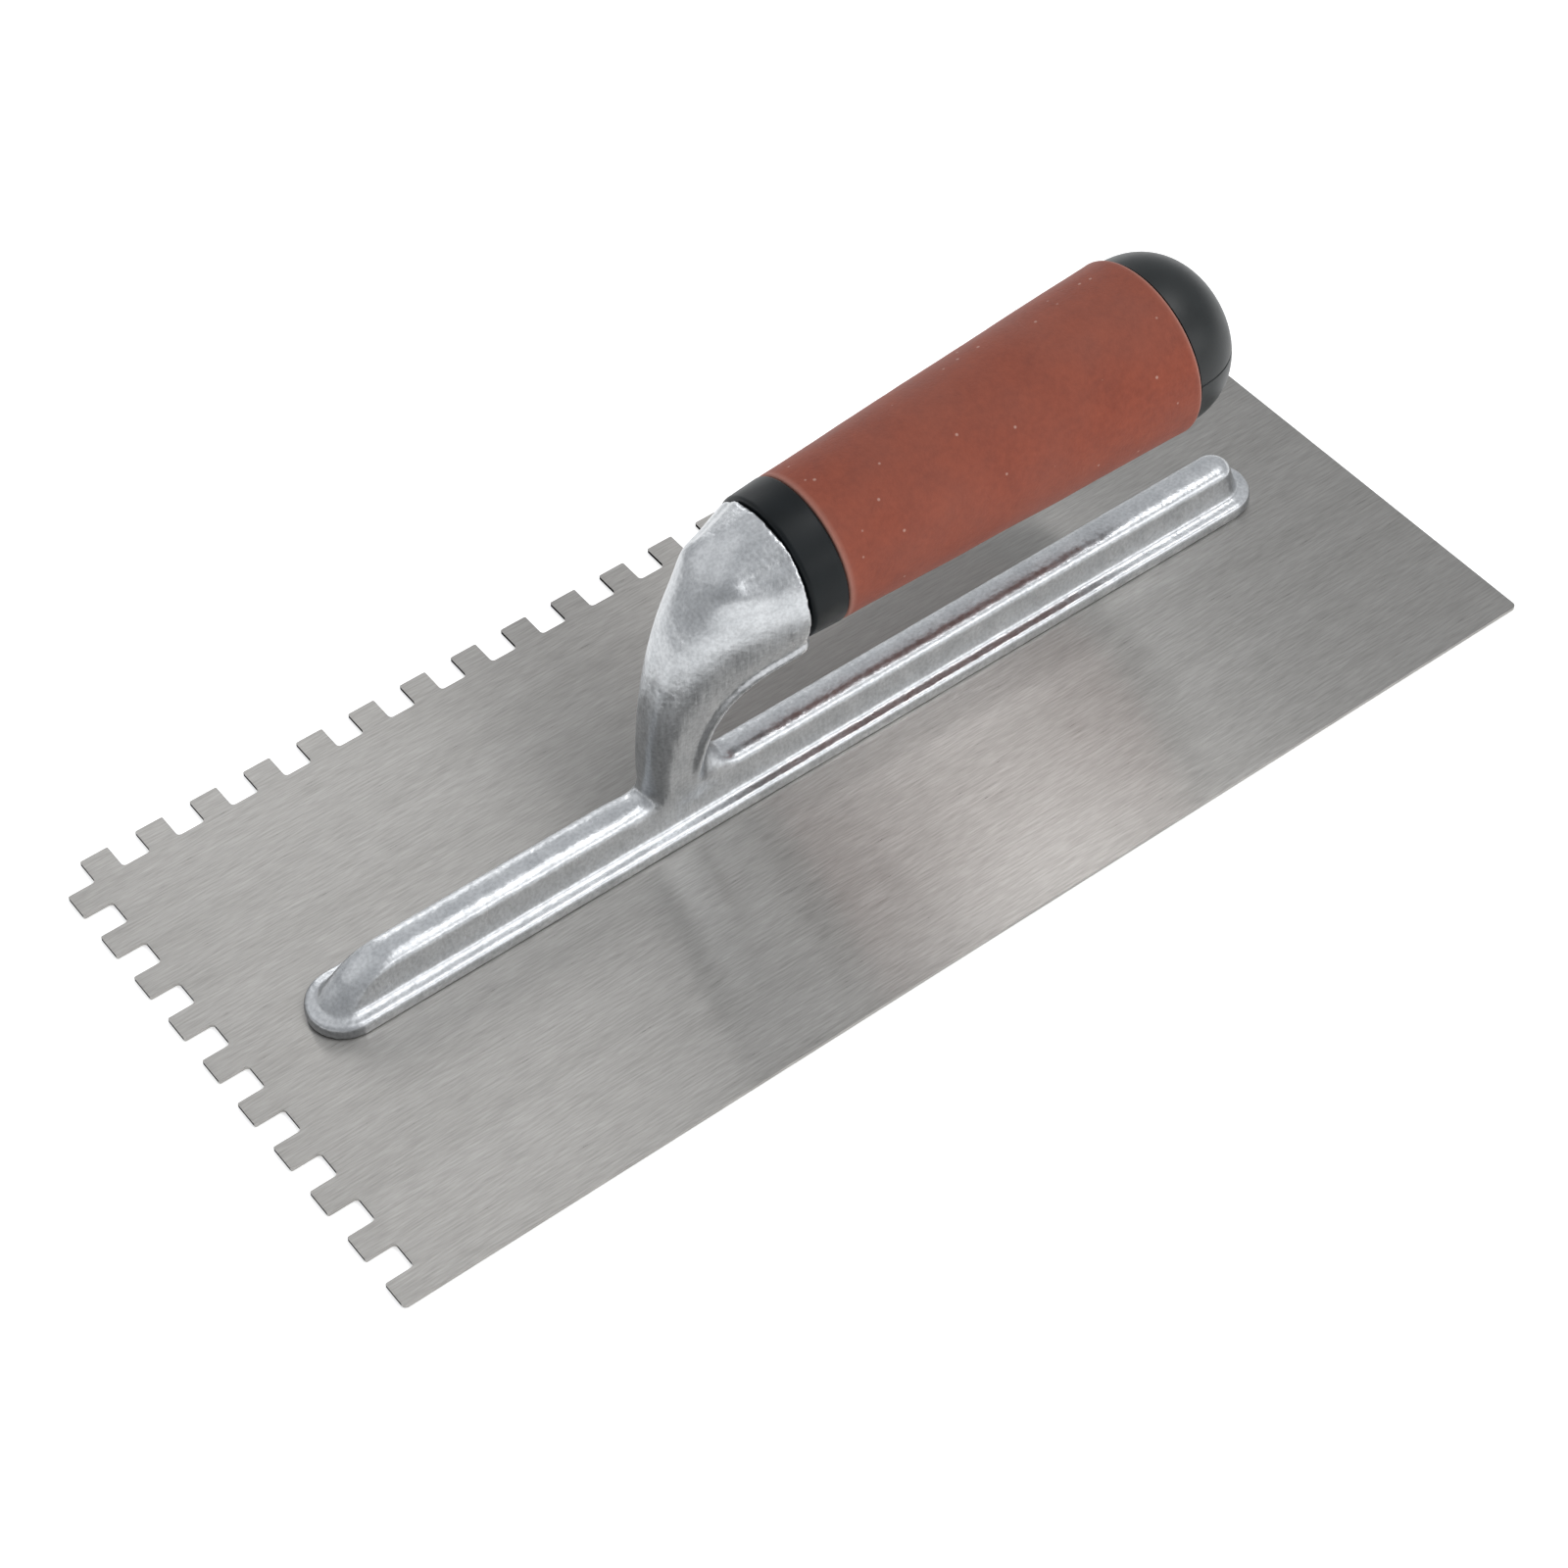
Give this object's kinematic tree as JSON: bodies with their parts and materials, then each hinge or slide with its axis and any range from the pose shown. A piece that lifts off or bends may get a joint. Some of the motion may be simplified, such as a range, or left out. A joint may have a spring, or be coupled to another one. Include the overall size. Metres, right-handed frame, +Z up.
{
  "type": "notched trowel",
  "caption": "Flat steel blade with square notches on one short and one long edge, held by a cast bar and shank under a round soft-grip handle, for combing tile adhesive.",
  "frame": {"origin": "centre of the blade's underside, on the working face", "axes": "+X along the blade towards its plain short edge, +Y towards the notched long edge, +Z up through the handle"},
  "size_m": [0.2794, 0.127, 0.0785],
  "materials": {
    "blade_steel": "satin, fine brushing along the blade",
    "cast_aluminium": "polished die casting with faint flow streaks",
    "rivet_steel": "ground flush with the blade",
    "zinc_steel": "bright zinc plated",
    "black_plastic": "satin moulded",
    "core_plastic": "plain moulded",
    "red_rubber": "matte moulded with faint speckle"
  },
  "bodies": {
    "root": {"blade": "blade_steel", "mounting": "cast_aluminium", "blade_rivet_01": "rivet_steel", "blade_rivet_02": "rivet_steel", "blade_rivet_03": "rivet_steel", "blade_rivet_04": "rivet_steel", "blade_rivet_05": "rivet_steel", "blade_rivet_06": "rivet_steel", "blade_rivet_07": "rivet_steel", "blade_rivet_08": "rivet_steel", "blade_rivet_09": "rivet_steel", "blade_rivet_10": "rivet_steel", "collar": "black_plastic", "handle_core": "core_plastic", "grip_sleeve": "red_rubber", "end_cap": "black_plastic", "tang_rod": "zinc_steel", "flat_washer": "zinc_steel", "spring_washer": "zinc_steel", "lock_nut": "zinc_steel"}
  },
  "joints": []
}
